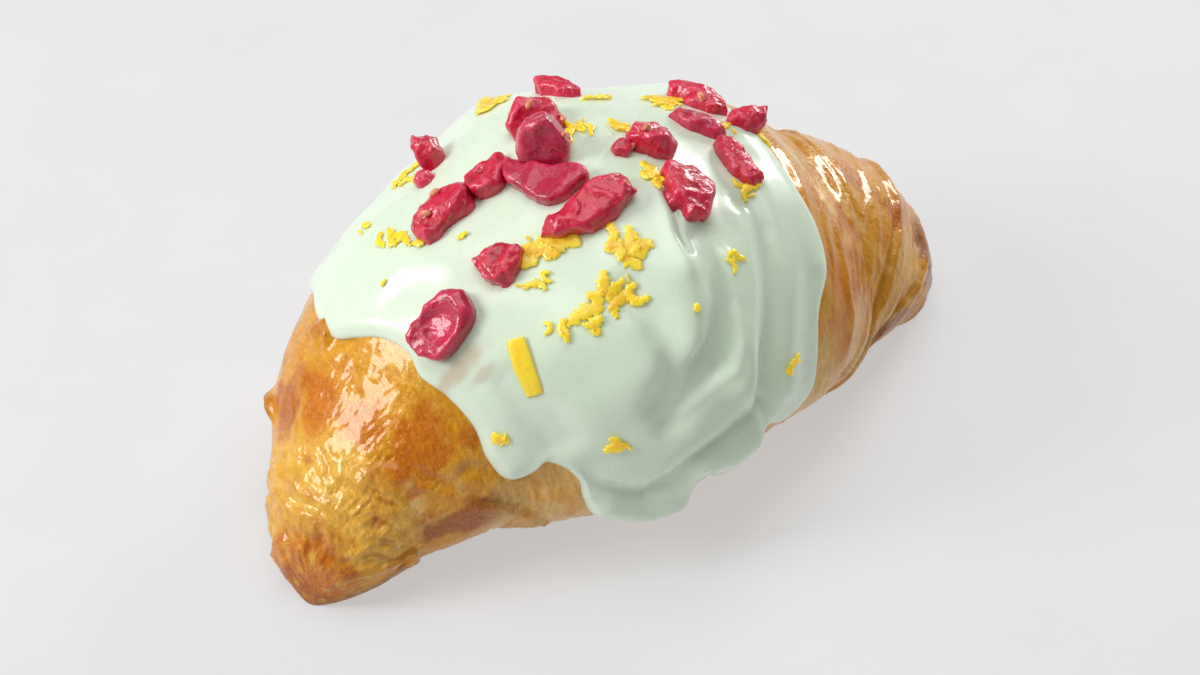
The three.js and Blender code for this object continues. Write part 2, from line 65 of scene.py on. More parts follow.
HALF_SPAN = 72.6
CURL_LEFT, CURL_RIGHT, CURL_POWER = 11.7, 9.4, 3.2
LEFT_END, RIGHT_END = -1.04, 1.015
MIDDLE_ASPECT, LEFT_ASPECT, RIGHT_ASPECT = 0.79, 0.88, 0.98
MIDDLE_SEAT, LEFT_SEAT, RIGHT_SEAT = 0.84, 0.88, 0.81
CRUST_BLEND, ICING_BLEND = 1.0, 2.5
# Radius, squareness, and the left and right ends at the back, on top, in front and beneath.
WRAPS = (
    (18.3, 7, (1.045,) * 4, (1.02,) * 4),
    (30.4, 3, (1.01, 0.98, 0.92, 0.93), (0.98, 0.98, 1.02, 1.02)),
    (40.0, 3, (0.93, 0.83, 0.69, 0.74), (0.75, 0.74, 0.79, 0.74)),
    (40.9, 3, (0.6, 0.52, 0.55, 0.56), (0.48, 0.45, 0.34, 0.44)),
    (43.5, 3, (0.43, 0.42, 0.44, 0.47), (0.3, 0.3, 0.09, 0.22)),
)
ICING_THICKNESS, ICING_EDGE, ICING_LEAST = 2.5, 2.6, 1.0
ICING_MIDDLE = (-0.12, 95)
ICING_REACH = (40, 75)
INNER_REACH = (22, 7)
MM_PER_DEGREE = 0.75
ICING_OUTLINE = (
    (-0.58, 18), (-0.622, 34), (-0.668, 45), (-0.695, 58), (-0.68, 70), (-0.66, 82), (-0.655, 95),
    (-0.672, 104), (-0.658, 118), (-0.645, 136), (-0.647, 153), (-0.615, 167), (-0.575, 167), (-0.54, 164),
    (-0.496, 169), (-0.455, 179), (-0.443, 189), (-0.4, 203), (-0.33, 209), (-0.26, 207), (-0.195, 209),
    (-0.171, 205), (-0.15, 194), (-0.11, 191), (-0.07, 198), (-0.01, 196), (0.03, 186), (0.08, 185),
    (0.15, 189), (0.21, 189), (0.265, 184), (0.292, 171), (0.335, 156), (0.42, 144), (0.448, 133),
    (0.455, 117), (0.462, 100), (0.457, 82), (0.46, 62), (0.43, 40), (0.36, 22), (0.33, 2), (0.28, -6),
    (0.22, 0), (0.15, 14), (0.06, 10), (0, -4), (-0.07, -11), (-0.14, -6), (-0.2, 9), (-0.28, 13),
    (-0.36, 4), (-0.43, -3), (-0.5, 3),
)
# Height, width and path.
ICING_FOLDS = (
    (1.6, 8, ((-0.37, 128), (-0.31, 137), (-0.29, 145))),
    (-1.5, 3.2, ((-0.19, 127), (-0.166, 134), (-0.16, 142), (-0.175, 149), (-0.235, 156))),
    (1.2, 6, ((-0.03, 127), (-0.06, 136), (-0.1, 143))),
    (-2.0, 3.4, ((0.055, 122), (0.045, 130), (0.02, 139), (-0.03, 147), (-0.09, 153))),
    (-1.7, 3.2, ((-0.09, 153), (-0.15, 158), (-0.21, 163))),
    (1.3, 3.8, ((0.215, 120), (0.16, 134), (0.11, 145), (0.05, 154), (0, 162))),
    (-1.4, 3, ((0.25, 118), (0.24, 125), (0.2, 136), (0.157, 146), (0.107, 157), (0.07, 166))),
    (1.1, 4, ((0.34, 112), (0.33, 121), (0.29, 133), (0.235, 147), (0.187, 158), (0.15, 172))),
    (-1.2, 3.4, ((-0.55, 128), (-0.537, 134), (-0.52, 140), (-0.5, 147), (-0.49, 156))),
    (-0.9, 3.4, ((-0.44, 172), (-0.416, 179), (-0.345, 186), (-0.285, 190), (-0.244, 187))),
    (-0.9, 3.4, ((-0.244, 187), (-0.17, 180), (-0.09, 177), (-0.01, 174), (0.047, 173))),
    (1.4, 3.6, ((-0.4, 194), (-0.33, 201), (-0.26, 203), (-0.2, 202))),
    (1.0, 3, ((-0.13, 184), (-0.05, 187), (0.01, 184), (0.06, 181))),
    (-0.9, 3.2, ((-0.58, 80), (-0.537, 89), (-0.487, 95), (-0.44, 102))),
)


def mix(a, b, share):
    return a + (b - a) * share


def ease(x):
    x = np.clip(x, 0, 1)
    return x * x * (3 - 2 * x)


def unit(vectors):
    return vectors / np.maximum(np.linalg.norm(vectors, axis=-1, keepdims=True), 1e-9)


def around(values, angle):
    """A value given at the back, on top, in front and beneath, at angles between them."""
    c, s = np.cos(angle), np.sin(angle)
    shares = [np.clip(v, 0, 1) ** 2 for v in (c, s, -c, -s)]
    return sum(value * share for value, share in zip(values, shares))


def crust_radius(along, angle, blend=CRUST_BLEND):
    radii = []
    for radius, squareness, left, right in WRAPS:
        end = np.where(along < 0, around(left, angle), around(right, angle))
        radii.append(radius * np.sqrt(np.clip(1 - np.abs(along / end) ** squareness, 0, 1)))
    radii = np.stack(radii)
    most = radii.max(0)
    return most + blend * (np.log(np.exp((radii - most) / blend).sum(0)) - 0.4)


def aspect(along):
    return mix(MIDDLE_ASPECT, np.where(along < 0, LEFT_ASPECT, RIGHT_ASPECT), along**2)


def centre_height(along):
    mean = sum(crust_radius(along, along * 0 + i * math.pi / 4) for i in range(8)) / 8
    return mean * aspect(along) * mix(MIDDLE_SEAT, np.where(along < 0, LEFT_SEAT, RIGHT_SEAT), along**2)


def point_at(along, angle, distance):
    """Points at a distance from the spine."""
    curl = np.where(along < 0, CURL_LEFT, CURL_RIGHT)
    slope = -curl * CURL_POWER * np.abs(along) ** (CURL_POWER - 1) * np.sign(along) / HALF_SPAN
    length = np.hypot(1, slope)
    sideways = distance * np.cos(angle)
    x = HALF_SPAN * along - slope / length * sideways
    y = -curl * np.abs(along) ** CURL_POWER + sideways / length
    z = centre_height(along) + distance * aspect(along) * np.sin(angle)
    return np.stack([x, y, z], -1)


def beside_crust(along, angle, out=0.0):
    """Points at a distance out of the plain crust, or into it below 0."""
    return point_at(along, angle, crust_radius(along, angle) + out)


def formula_shift():
    """What moves the formula's frame to the solids' frame, from the croissant's box."""
    along, angle = np.meshgrid(
        np.linspace(LEFT_END, RIGHT_END, 400), np.linspace(0, 2 * np.pi, 361), indexing="ij"
    )
    points = beside_crust(along, angle).reshape(-1, 3)
    low, high = box_of("croissant")
    shift = (low + high - points.min(0) - points.max(0)) / 2
    shift[2] = 0
    return shift


SHIFT = formula_shift()

# ---- Noise and soft masks ----


def noise(points, wavelength, seed):
    """Smooth noise from about -1 to 1 at points in millimetres."""
    size = 4096
    rng = np.random.default_rng(seed)
    order = rng.permutation(size)
    slopes = unit(rng.normal(size=(size, 3)))
    at = points / wavelength + 200
    cell = np.floor(at).astype(np.int64)
    part = at - cell
    near = part**3 * (part * (part * 6 - 15) + 10)
    total = np.zeros(len(points))
    for corner in np.ndindex(2, 2, 2):
        key = order[(cell[:, 0] + corner[0]) % size]
        key = order[(key + cell[:, 1] + corner[1]) % size]
        key = order[(key + cell[:, 2] + corner[2]) % size]
        weight = np.prod(np.where(corner, near, 1 - near), axis=1)
        total += weight * (slopes[key] * (part - corner)).sum(1)
    return total * 1.7


def rough_noise(points, wavelength, octaves, seed):
    total = sum(noise(points, wavelength / 2**i, seed + i) / 1.8**i for i in range(octaves))
    return total / 1.4


def ridges(points, wavelength, seed):
    """Sharp crests over broad hollows, from 0 to 1."""
    return 1 - np.clip(np.abs(noise(points, wavelength, seed)) * 2, 0, 1)


def unrolled(along, degrees, mm_per_degree):
    return np.stack([along * HALF_SPAN, degrees * mm_per_degree], -1)


def path_distance(flat, path, mm_per_degree):
    """How far flat places are from a path, and on which side of it: over 0 to its left."""
    path = np.array(path, float) * (HALF_SPAN, mm_per_degree)
    least = np.full(len(flat), 1e9)
    side = np.ones(len(flat))
    for start, end in zip(path[:-1], path[1:]):
        run = end - start
        share = np.clip(((flat - start) @ run) / (run @ run), 0, 1)
        away = flat - (start + share[:, None] * run)
        distance = np.hypot(away[:, 0], away[:, 1])
        turn = run[0] * away[:, 1] - run[1] * away[:, 0]
        closer = distance < least
        side = np.where(closer, np.sign(turn), side)
        least = np.where(closer, distance, least)
    return least, side


def normals_of(points):
    """Outward normals of a grid of points whose second axis goes once round."""
    across = np.gradient(points, axis=0)
    round_it = (np.roll(points, -1, 1) - np.roll(points, 1, 1)) / 2
    return unit(np.cross(round_it, across))


def tinted(colours, tone, share):
    """Colours of points, mixed with one tone by each point's share."""
    return mix(colours, tone[None], np.clip(share, 0, 1)[:, None])


def srgb(*channels):
    """A colour as a light value for each channel, from 0-255 display values."""
    c = np.array(channels, float) / 255
    return np.where(c <= 0.04045, c / 12.92, ((c + 0.055) / 1.055) ** 2.4)


# ---- Meshes ----


def closed_faces(rows, sides, reverse=False):
    """Faces of a closed form whose points are rows that each go once round, then one point for each end."""
    # The toppings look for the icing's nearest face, and where two are equally near, the faces' order decides.
    row, side = np.meshgrid(np.arange(rows - 1), np.arange(sides), indexing="ij")
    following = (side + 1) % sides
    a, b = row * sides + side, row * sides + following
    walls = np.stack([a, b, b + sides, a + sides], -1).reshape(-1, 4)
    here = np.arange(sides)
    beside = (here + 1) % sides
    if reverse:
        walls = walls[:, ::-1]
        here, beside = beside, here
    end = np.full(sides, rows * sides)
    first_cap = np.column_stack([end, beside, here])
    last_cap = np.column_stack([end + 1, here + end - sides, beside + end - sides])
    return [*walls.tolist(), *first_cap.tolist(), *last_cap.tolist()]


def add_to_scene(thing):
    bpy.context.scene.collection.objects.link(thing)


def new_object(name, points, faces):
    """A mesh object from points in the solids' frame, in millimetres."""
    mesh = bpy.data.meshes.new(name)
    mesh.from_pydata((np.asarray(points) * MM).tolist(), [], faces)
    mesh.validate()
    mesh.shade_smooth()
    piece = bpy.data.objects.new(name, mesh)
    add_to_scene(piece)
    return piece


def vertex_vectors(mesh, kind):
    flat = np.empty(len(mesh.vertices) * 3)
    mesh.vertices.foreach_get(kind, flat)
    return flat.reshape(-1, 3)


def points_of(mesh):
    return vertex_vectors(mesh, "co") / MM


def mesh_normals(mesh):
    return vertex_vectors(mesh, "normal")


def set_points(mesh, points):
    mesh.vertices.foreach_set("co", (points * MM).ravel())
    mesh.update()


def paint_vertices(mesh, name, colours):
    layer = mesh.attributes.new(name, "FLOAT_COLOR", "POINT")
    layer.data.foreach_set("color", np.column_stack([colours, np.ones(len(colours))]).ravel())


def set_vertex_values(mesh, name, values):
    layer = mesh.attributes.new(name, "FLOAT", "POINT")
    layer.data.foreach_set("value", np.asarray(values, float))


def finish_piece(piece, material, slot, *nodes):
    piece.data.materials.clear()
    piece.data.materials.append(material)
    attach(piece, BODY)
    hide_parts(*nodes)


# ---- Materials ----


class Shading:
    """A Principled material whose nodes are added one after another."""

    def __init__(self, name, roughness, **sockets):
        self.material = bpy.data.materials.new(name)
        self.material.use_nodes = True
        self.nodes = self.material.node_tree.nodes
        self.links = self.material.node_tree.links
        self.shader = self.nodes["Principled BSDF"]
        self.shader.inputs["Roughness"].default_value = roughness
        for socket, value in sockets.items():
            self.shader.inputs[socket.replace("_", " ")].default_value = value

    def link(self, source, target):
        self.links.new(source, target)

    def attribute(self, name, output="Color"):
        node = self.nodes.new("ShaderNodeAttribute")
        node.attribute_name = name
        return node.outputs[output]

    def noise(self, wavelength_mm, detail=2.0, stretch=None):
        """Noise over the object, from 0 to 1."""
        texture = self.nodes.new("ShaderNodeTexNoise")
        texture.inputs["Scale"].default_value = 1 / (wavelength_mm * MM)
        texture.inputs["Detail"].default_value = detail
        place = self.nodes.new("ShaderNodeTexCoord").outputs["Object"]
        if stretch:
            mapping = self.nodes.new("ShaderNodeMapping")
            mapping.inputs["Scale"].default_value = stretch
            self.link(place, mapping.inputs["Vector"])
            place = mapping.outputs["Vector"]
        self.link(place, texture.inputs["Vector"])
        return texture.outputs["Fac"]

    def spread(self, value, low, high, from_low=0.3, from_high=0.7):
        node = self.nodes.new("ShaderNodeMapRange")
        self.link(value, node.inputs["Value"])
        for socket, number in zip(
            ("From Min", "From Max", "To Min", "To Max"), (from_low, from_high, low, high)
        ):
            node.inputs[socket].default_value = number
        return node.outputs["Result"]

    def maths(self, operation, a, b):
        node = self.nodes.new("ShaderNodeMath")
        node.operation = operation
        for socket, value in zip(node.inputs, (a, b)):
            if isinstance(value, (int, float)):
                socket.default_value = value
            else:
                self.link(value, socket)
        return node.outputs[0]

    def blend(self, share, a, b, how="MIX"):
        node = self.nodes.new("ShaderNodeMix")
        node.data_type = "RGBA"
        node.blend_type = how
        for socket, value in zip((node.inputs[0], node.inputs[6], node.inputs[7]), (share, a, b)):
            if isinstance(value, (int, float)):
                socket.default_value = value
            elif isinstance(value, (tuple, list, np.ndarray)):
                socket.default_value = (*[float(v) for v in value], 1)
            else:
                self.link(value, socket)
        return node.outputs[2]

    def colour(self, value):
        self.link(value, self.shader.inputs["Base Color"])

    def roughness(self, value):
        self.link(value, self.shader.inputs["Roughness"])

    def bump(self, *layers):
        """Bumps from (height, depth in mm) pairs."""
        normal = None
        for height, depth in layers:
            node = self.nodes.new("ShaderNodeBump")
            node.inputs["Distance"].default_value = depth * MM
            node.inputs["Strength"].default_value = 1
            self.link(height, node.inputs["Height"])
            if normal:
                self.link(normal, node.inputs["Normal"])
            normal = node.outputs["Normal"]
        self.link(normal, self.shader.inputs["Normal"])


def baked_crust():
    shading = Shading(
        "baked_crust", 0.4, Subsurface_Weight=0.06, Subsurface_Radius=(0.003, 0.0015, 0.0006),
        Subsurface_Scale=0.6, Coat_Weight=0.5, Coat_Roughness=0.08, Specular_IOR_Level=0.35,
        Coat_Tint=(1.0, 0.9, 0.72, 1.0), Specular_Tint=(1.0, 0.86, 0.6, 1.0),
    )
    tone = shading.attribute("crust")
    mottle = shading.noise(2.2, 4)
    speck = shading.noise(0.7, 3)
    fibre = shading.noise(0.9, 3, stretch=(1.5, 0.35, 0.35))
    lined = shading.blend(shading.spread(fibre, 0.5, 0.0, 0.35, 0.6), tone, (0.74, 0.56, 0.34), "MULTIPLY")
    darker = shading.blend(shading.spread(mottle, 0.4, 0.0), lined, (0.72, 0.55, 0.35), "MULTIPLY")
    paler = shading.blend(shading.spread(speck, 0.0, 0.22, 0.5, 0.75), darker, srgb(240, 196, 96))
    shading.colour(paler)
    matte = shading.attribute("matte", "Fac")
    shading.roughness(shading.maths("ADD", matte, shading.spread(mottle, -0.07, 0.09)))
    shading.bump((shading.noise(1.1, 3), 0.26), (fibre, 0.16), (shading.noise(0.4, 2), 0.07))
    return shading.material


def poured_icing():
    shading = Shading(
        "poured_icing", 0.27, Subsurface_Weight=0.35, Subsurface_Radius=(0.004, 0.004, 0.0034),
        Subsurface_Scale=0.7, Coat_Weight=0.25, Coat_Roughness=0.12, Specular_IOR_Level=0.5,
    )
    cloud = shading.noise(14, 2)
    tone = shading.blend(shading.spread(cloud, 0, 1), srgb(223, 239, 218), srgb(220, 237, 213))
    stained = shading.blend(shading.attribute("thin", "Fac"), tone, srgb(196, 150, 118))
    shading.colour(stained)
    shading.roughness(shading.spread(shading.noise(5, 3), 0.22, 0.34))
    shading.bump((shading.noise(6, 2), 0.05))
    return shading.material


def dried_raspberry():
    shading = Shading(
        "dried_raspberry", 0.32, Subsurface_Weight=0.2, Subsurface_Radius=(0.003, 0.0006, 0.0008),
        Subsurface_Scale=0.6, Coat_Weight=0.5, Coat_Roughness=0.1,
    )
    tone = shading.attribute("skin")
    patches = shading.noise(1.6, 3)
    speck = shading.noise(0.45, 2)
    deeper = shading.blend(shading.spread(patches, 0.45, 0.0), tone, (0.7, 0.4, 0.5), "MULTIPLY")
    # Pale pink specks are painted glints.
    glint_specks = shading.blend(shading.spread(speck, 0.0, 0.25, 0.55, 0.75), deeper, srgb(236, 100, 130))
    shading.colour(glint_specks)
    shading.roughness(shading.spread(patches, 0.2, 0.42))
    shading.bump((shading.noise(1.1, 3), 0.24), (shading.noise(0.42, 2), 0.13))
    return shading.material


def grated_zest():
    shading = Shading(
        "grated_zest", 0.3, Subsurface_Weight=0.6, Subsurface_Radius=(0.002, 0.0018, 0.0004),
        Subsurface_Scale=0.6, Coat_Weight=0.3, Coat_Roughness=0.1,
        # The faint orange emission is painted light: a glow that stands in for light passing through the thin
        # peel.
        Emission_Color=(1.0, 0.62, 0.01, 1.0), Emission_Strength=0.14,
    )
    patches = shading.noise(1.4, 3)
    tone = shading.blend(shading.spread(patches, 0, 1), srgb(255, 220, 14), srgb(252, 192, 4))
    edged = shading.blend(shading.attribute("edge", "Fac"), tone, srgb(240, 230, 110))
    shading.colour(edged)
    shading.roughness(shading.spread(patches, 0.18, 0.4))
    shading.bump((shading.noise(0.7, 3), 0.14))
    return shading.material


def studio_floor():
    shading = Shading("studio_floor", 0.75, Emission_Color=(1, 1, 1, 1), Emission_Strength=0.48)
    cloud = shading.noise(25, 4)
    shading.colour(shading.blend(shading.spread(cloud, 0, 1), srgb(141, 141, 143), srgb(146, 146, 148)))
    shading.bump((shading.noise(2.5, 3), 0.05))
    return shading.material


# ---- The crust ----

CRUST_DEGREE = 0.6  # millimetres round the crust for each degree, near the tips
CRUST_RINGS, CRUST_SIDES = 290, 326
CRUST_LEFT, CRUST_RIGHT = -1.0449, 1.0199  # just inside the ends of the first wrap
TIP_REACH = 1.033  # from halfway between them to just past either
GOLD = srgb(224, 162, 32)
AMBER = srgb(208, 120, 4)
RUST = srgb(180, 78, 4)
STRAW = srgb(240, 198, 88)
CREAM = srgb(236, 202, 130)
TAN = srgb(216, 160, 62)
PINK_BROWN = srgb(176, 104, 48)
BROWN = srgb(150, 90, 36)
RED_BROWN = srgb(176, 74, 14)

# Where one layer of dough ends on the next: height, run and path. The layer on the path's left stands proud
# by the height, which fades over the run.
LIPS = (
    (0.9, 2.6, ((-0.985, -30), (-0.996, 22), (-1.014, 70), (-1.016, 103), (-1.007, 145), (-0.959, 171),
                (-0.865, 186), (-0.83, 215))),
    (0.7, 3.0, ((-0.935, -10), (-0.934, 29), (-0.968, 67), (-0.975, 104), (-0.962, 140))),
    (0.5, 2.5, ((-0.89, 5), (-0.90, 40), (-0.935, 75), (-0.945, 110), (-0.93, 135), (-0.90, 150))),
    (1.0, 5.0, ((-0.83, 112), (-0.796, 138), (-0.755, 154), (-0.695, 172), (-0.585, 195), (-0.5, 214))),
    (1.1, 5.0, ((0.47, 214), (0.55, 197), (0.64, 183), (0.702, 170), (0.762, 155), (0.833, 132), (0.863, 110),
                (0.87, 70), (0.85, 20), (0.8, -30))),
    (0.8, 3.5, ((0.66, 205), (0.72, 190), (0.785, 182), (0.872, 172), (0.936, 158), (0.965, 136), (0.97, 90),
                (0.96, 30))),
    (0.35, 4.0, ((0.5, 196), (0.6, 172), (0.66, 150), (0.7, 125), (0.7, 95), (0.68, 50))),
)
# Raised threads and pressed creases: height, width and path.
STROKES = (
    (1.9, 1.1, ((-0.79, 12), (-0.772, 9))),
    (1.7, 1.3, ((-0.684, 46), (-0.672, 52), (-0.69, 55))),
    (0.35, 0.5, ((-0.943, 116), (-0.927, 119), (-0.913, 116), (-0.902, 120))),
    (0.3, 0.5, ((-0.824, 104), (-0.826, 109), (-0.821, 113))),
    (0.35, 0.7, ((-0.819, 117), (-0.815, 127), (-0.803, 136), (-0.778, 145))),
    (0.3, 0.5, ((-0.675, 138), (-0.668, 141), (-0.67, 144))),
    (-0.7, 1.6, ((-0.7, 150), (-0.64, 160), (-0.58, 170))),
    (-0.6, 1.4, ((-0.89, 168), (-0.88, 178), (-0.9, 190))),
)


def crust_grid():
    """Places over the crust, closer together towards the tips and on the side that is seen most."""
    fine = np.linspace(CRUST_LEFT, CRUST_RIGHT, 8000)
    spacing = np.where((fine < -0.5) | (fine > 0.38), 0.42, 0.85)
    spacing = np.where((fine < -1.03) | (fine > 1.005), 0.1, spacing)
    along = np.interp(np.linspace(0, 1, CRUST_RINGS), np.cumsum(1 / spacing) / np.sum(1 / spacing), fine)
    turn = np.linspace(0, 360, 7201)
    density = np.where((turn > 35) & (turn < 235), 1.0, 0.55)
    reached = np.concatenate([[0], np.cumsum(density[1:])])
    degrees = np.interp(np.linspace(0, reached[-1], CRUST_SIDES + 1)[:-1], reached, turn)
    return np.meshgrid(along, degrees, indexing="ij")


def between(value, low, high, soft):
    return ease((value - low) / soft + 0.5) * ease((high - value) / soft + 0.5)


def drawn_out(across, along, depth=0.0):
    """Places whose noise is drawn out along whichever measure has been made small."""
    return np.column_stack([across, along, depth + 0 * across])


def spot(flat, wobble, at, reach, slant=0.0):
    """A soft patch with a ragged outline, at a place and with half its size in millimetres."""
    away = flat - unrolled(np.array(at[0]), np.array(at[1]), CRUST_DEGREE)
    c, s = math.cos(math.radians(slant)), math.sin(math.radians(slant))
    x = (away[:, 0] * c + away[:, 1] * s) / reach[0]
    y = (away[:, 1] * c - away[:, 0] * s) / reach[1]
    return ease((1.1 - np.hypot(x, y) + wobble * 0.7) / 0.5)


def crust_relief(points, along, wrapped):
    """How far each point stands off the plain form, and by name its shares of the kinds of surface.

    The grain is a distance across the lines that the dough is drawn out along.
    """
    left = ease((-0.45 - along) / 0.12)
    right = ease((along - 0.38) / 0.12)
    waved = unrolled(along, wrapped, CRUST_DEGREE) + 0.5 * np.stack(
        [noise(points, 7, 31), noise(points, 7, 32)], -1
    )
    height = np.zeros(len(points))
    for lift, run, path in LIPS:
        distance, side = path_distance(waved, path, CRUST_DEGREE)
        signed = distance * side
        above = ease(signed + 0.5) * np.exp(-np.clip(signed, 0, None) / run)
        height += lift * above - 0.35 * lift * np.exp(-(((signed + 0.6) / 0.9) ** 2))
    for lift, width, path in STROKES:
        distance, _ = path_distance(waved, path, CRUST_DEGREE)
        height += lift * np.exp(-((distance / width) ** 2))
    # Torn layers run round the left end as fine strands, and soft folds run round the right one.
    body = ease((0.99 - np.abs(along)) / 0.05)
    forward = 6.5 * np.exp(-(((wrapped - 112) / 60) ** 2))
    back = 0.24 * 12 * np.logaddexp(0, (wrapped - 112) / 12)
    grain = waved[:, 0] + np.where(along < 0, forward, back)
    strand_points = drawn_out(grain, waved[:, 1] * 0.12)
    strands = ridges(strand_points, 2.6, 41) + 0.6 * ridges(strand_points, 1.3, 42)
    torn = between(along, -1.02, -0.85, 0.06) * between(wrapped, -20, 175, 30)
    height += 0.5 * torn * strands
    fold_points = drawn_out(grain, waved[:, 1] * 0.15)
    height += body * right * (0.8 * noise(fold_points, 8.5, 43) + 0.45 * (ridges(fold_points, 4.2, 44) - 0.4))
    neck = between(along, -0.66, 0.4, 0.1) * between(wrapped, 165, 260, 12)
    height += 0.28 * neck * ridges(drawn_out(waved[:, 0], waved[:, 1] * 0.15), 2.2, 45)
    # Blisters all over, and fine wrinkles where the wash has dried to a skin.
    height += 0.30 * rough_noise(points, 9, 2, 51)
    skin_points = drawn_out(grain, waved[:, 1] * 0.35, 0.2 * points[:, 2])
    tight = ease(0.55 + 1.2 * noise(points, 8, 55))
    height += body * (0.05 + 0.13 * left * tight) * ridges(skin_points, 2.0, 52)
    height += body * (0.04 + 0.10 * left * tight) * ridges(skin_points, 0.95, 53)
    height += (1 - body) * (0.35 * rough_noise(points, 4.5, 3, 56) + 0.12 * ridges(points, 1.6, 57))
    kinds = {"left": left, "right": right, "torn": torn, "strands": strands, "neck": neck, "grain": grain}
    return height, kinds


def crust_colours(points, along, wrapped, flat, relief, left, right, torn, strands, neck, grain):
    """The colour and the dullness of each point."""
    fibres = rough_noise(drawn_out(grain, flat[:, 1] * 0.22), 3.4, 3, 63)
    wobble = 0.8 * rough_noise(points, 7, 3, 61) + 0.7 * fibres
    fine = 0.7 * rough_noise(points, 2.4, 3, 62) + 0.6 * fibres
    colour = np.repeat(GOLD[None], len(points), 0)
    dull = np.full(len(points), 0.42)

    def paint(tone, share):
        nonlocal colour
        colour = tinted(colour, tone, share)

    def gloss(value, share):
        nonlocal dull
        dull = mix(dull, value, np.clip(share, 0, 1))

    gloss(0.24, left * ease((170 - wrapped) / 30))
    gloss(0.24, right * ease((0.8 - along) / 0.1))
    paint(AMBER, 0.6 * ease(wobble * 1.6 + 0.25))
    paint(RUST, 0.5 * ease(wobble * 1.8 - 0.45) * (left + right))
    paint(STRAW, 0.6 * ease(fine * 1.7 - 0.1))
    paint(CREAM, 0.65 * left * ease(fibres * 2.6 - 0.55))
    # The left end.
    for at, reach, slant, tone, share in (
        ((-0.80, 36), (4, 9), 0, RUST, 0.75), ((-0.815, 60), (4.5, 9), 15, AMBER, 0.9),
        ((-0.80, 92), (4, 12), 5, AMBER, 0.9), ((-0.775, 117), (6, 9), 25, AMBER, 0.95),
        ((-0.87, 108), (3.5, 5), 0, RUST, 0.7), ((-0.80, 140), (4.5, 4), 0, AMBER, 0.8),
        ((-0.74, 132), (5, 5), 0, AMBER, 0.7), ((-0.66, 138), (2.5, 6), 0, RUST, 0.5),
        ((-0.67, 90), (3, 12), 0, STRAW, 0.4), ((-0.72, 82), (5, 8), 0, GOLD, 0.5),
        ((-0.86, 148), (5.5, 5), 0, CREAM, 0.95), ((-0.92, 165), (4.5, 5), 0, CREAM, 0.7),
        ((-0.80, 172), (4, 4), 0, CREAM, 0.6), ((-0.72, 148), (6, 4), 20, TAN, 0.8),
        ((-0.72, 179), (10.5, 6.5), -12, PINK_BROWN, 0.95), ((-0.64, 192), (7, 6), -20, PINK_BROWN, 0.9),
        ((-0.70, 205), (12, 5), 0, TAN, 0.7),
    ):
        paint(tone, share * spot(flat, wobble, at, reach, slant))
    gloss(0.62, spot(flat, wobble, (-0.70, 182), (14, 9)))
    gloss(0.5, spot(flat, wobble, (-0.86, 150), (6, 6)))
    paint(STRAW, 0.85 * torn * ease(0.35 + strands * 0.6))
    # Darker rust between the torn strands is painted shade in the hollows.
    paint(RUST, 0.5 * torn * ease(1.0 - strands * 2.2) * ease(0.8 + wobble))
    tip = ease((-0.985 - along) / 0.02) * ease((195 - wrapped) / 25) + ease((-1.02 - along) / 0.02)
    paint(AMBER, 0.8 * tip)
    paint(RED_BROWN, 0.75 * np.clip(tip, 0, 1) * ease(wobble * 2.4 + 0.15))
    paint(STRAW, 0.85 * np.clip(tip, 0, 1) * ease(fine * 2.2 - 0.2))
    paint(BROWN, 0.75 * spot(flat, wobble, (-0.95, 205), (7, 9)))
    # The right end.
    paint(TAN, 0.35 * right)
    for at, reach, slant, tone, share in (
        ((0.76, 104), (4, 9), 0, AMBER, 0.75), ((0.64, 124), (4.5, 9), -10, AMBER, 0.8),
        ((0.82, 118), (3, 8), 0, RUST, 0.6), ((0.60, 150), (5, 7), 0, RUST, 0.45),
        ((0.48, 150), (5, 10), 0, AMBER, 0.6), ((0.42, 175), (5, 10), 0, AMBER, 0.6),
        ((0.55, 120), (4, 7), 0, AMBER, 0.6), ((0.85, 150), (5, 10), 0, STRAW, 0.6),
        # These narrow, slanted cream streaks are painted highlights.
        ((0.57, 106), (2.0, 12), -12, CREAM, 0.9), ((0.66, 120), (1.8, 10), -20, CREAM, 0.8),
        ((0.74, 150), (1.6, 12), -25, CREAM, 0.5),
        ((0.56, 192), (6, 8), -30, CREAM, 0.6), ((0.93, 120), (3, 12), 0, GOLD, 0.8),
        ((0.99, 140), (4, 22), 0, BROWN, 0.8), ((0.80, 192), (8, 7), 0, BROWN, 0.75),
        ((0.70, 198), (8, 6), 0, BROWN, 0.7),
    ):
        paint(tone, share * spot(flat, wobble, at, reach, slant))
    gloss(0.5, ease((along - 0.93) / 0.04))
    paint(BROWN, 0.8 * ease((along - 0.935 + 0.02 * wobble) / 0.035) * ease((wrapped - 70) / 40))
    paint(CREAM, 0.75 * neck * ease(0.85 + wobble))
    # Underneath, painted shade: browner towards the bottom. And rust on the crests of the relief.
    low = ease((9 - points[:, 2]) / 8)
    paint(BROWN, 0.55 * low)
    paint(RUST, 0.35 * ease((relief - 0.5) / 0.8) * ease(wobble + 0.6))
    gloss(0.65, low)
    return colour, np.clip(dull, 0.2, 0.8)


